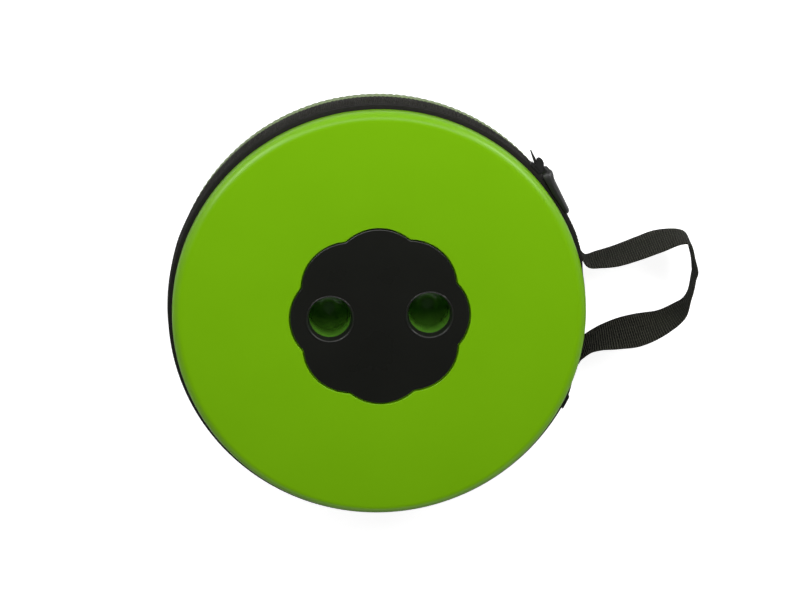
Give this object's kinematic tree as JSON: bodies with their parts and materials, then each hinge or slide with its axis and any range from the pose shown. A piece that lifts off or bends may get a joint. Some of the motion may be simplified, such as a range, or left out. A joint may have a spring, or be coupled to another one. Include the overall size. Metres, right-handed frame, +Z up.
{
  "type": "folding camping stool",
  "caption": "Telescoping camping stool folded flat: round moulded seat with a lobed pull plate and finger holes, nested locking rings, zip-shut fabric wall and webbing carry loop.",
  "frame": {"origin": "centre of the base's underside, on the face of the centre foot pad, where the folded stool rests on the floor", "axes": "+Z up through the seat along the way the stack extends, +X towards the webbing carry loop"},
  "size_m": [0.3236, 0.2566, 0.0601],
  "materials": {
    "seat_green": "satin moulded lime green",
    "base_green": "satin, ribbed",
    "ring_green": "satin",
    "cup_green": "glossy, slightly translucent",
    "plate_black": "fine moulded texture",
    "ring_black": "satin",
    "wall_fabric": "ribbed polyester",
    "webbing": "ribbed polypropylene webbing",
    "zip_tape": "woven tape with a nylon coil",
    "zip_metal": "black enamel",
    "zip_plastic": "moulded",
    "puller_plastic": "soft moulded grip",
    "rubber": "matt",
    "screw_steel": "zinc plated"
  },
  "bodies": {
    "base": {"base_shell": "base_green", "base_foot_ring": "rubber", "centre_foot_pad": "rubber", "base_grip_ring": "base_green", "fabric_wall": "wall_fabric", "zip_lower_tape": "zip_tape", "zip_box": "zip_plastic", "handle_tail_upper": "webbing", "handle_tail_lower": "webbing", "handle_loop": "webbing"},
    "stage_1": {"ring_1": "ring_black"},
    "stage_2": {"ring_2": "ring_green"},
    "stage_3": {"ring_3": "ring_black"},
    "stage_4": {"ring_4": "ring_green"},
    "stage_5": {"ring_5": "ring_black"},
    "stage_6": {"ring_6": "ring_green"},
    "stage_7": {"ring_7": "ring_black"},
    "stage_8": {"ring_8": "ring_green"},
    "stage_9": {"ring_9": "ring_black"},
    "stage_10": {"ring_10": "ring_green"},
    "seat": {"seat_tube": "ring_black", "seat_shell": "seat_green", "seat_hub": "seat_green", "centre_plate": "plate_black", "finger_cup_left": "cup_green", "finger_cup_right": "cup_green", "zip_upper_tape": "zip_tape", "zip_pin": "zip_plastic", "flange_screw_1": "screw_steel", "flange_screw_2": "screw_steel", "flange_screw_3": "screw_steel", "flange_screw_4": "screw_steel", "plate_screw_1": "screw_steel", "plate_screw_2": "screw_steel"},
    "slider": {"zip_slider": "zip_metal"},
    "puller": {"puller_tab": "zip_metal", "puller_grip": "puller_plastic"}
  },
  "joints": [
    {"name": "ring_1_slide", "type": "slide", "parent": "base", "child": "stage_1", "axis": [0, 0, 1], "range_m": [0, 0.0323]},
    {"name": "ring_2_slide", "type": "slide", "parent": "stage_1", "child": "stage_2", "axis": [0, 0, 1], "range_m": [0, 0.0323]},
    {"name": "ring_3_slide", "type": "slide", "parent": "stage_2", "child": "stage_3", "axis": [0, 0, 1], "range_m": [0, 0.0323]},
    {"name": "ring_4_slide", "type": "slide", "parent": "stage_3", "child": "stage_4", "axis": [0, 0, 1], "range_m": [0, 0.0323]},
    {"name": "ring_5_slide", "type": "slide", "parent": "stage_4", "child": "stage_5", "axis": [0, 0, 1], "range_m": [0, 0.0323]},
    {"name": "ring_6_slide", "type": "slide", "parent": "stage_5", "child": "stage_6", "axis": [0, 0, 1], "range_m": [0, 0.0323]},
    {"name": "ring_7_slide", "type": "slide", "parent": "stage_6", "child": "stage_7", "axis": [0, 0, 1], "range_m": [0, 0.0323]},
    {"name": "ring_8_slide", "type": "slide", "parent": "stage_7", "child": "stage_8", "axis": [0, 0, 1], "range_m": [0, 0.0323]},
    {"name": "ring_9_slide", "type": "slide", "parent": "stage_8", "child": "stage_9", "axis": [0, 0, 1], "range_m": [0, 0.0323]},
    {"name": "ring_10_slide", "type": "slide", "parent": "stage_9", "child": "stage_10", "axis": [0, 0, 1], "range_m": [0, 0.0323]},
    {"name": "seat_slide", "type": "slide", "parent": "stage_10", "child": "seat", "axis": [0, 0, 1], "range_m": [0, 0.0323]},
    {"name": "zip_run", "type": "hinge", "parent": "base", "child": "slider", "pos_m": [0, 0, 0.0453], "axis": [0, 0, 1], "range_deg": [0, 284]},
    {"name": "puller_swing", "type": "hinge", "parent": "slider", "child": "puller", "pos_m": [0.0997, 0.08667, 0.0453], "axis": [0, 0, 1], "range_deg": [0, 165]}
  ]
}
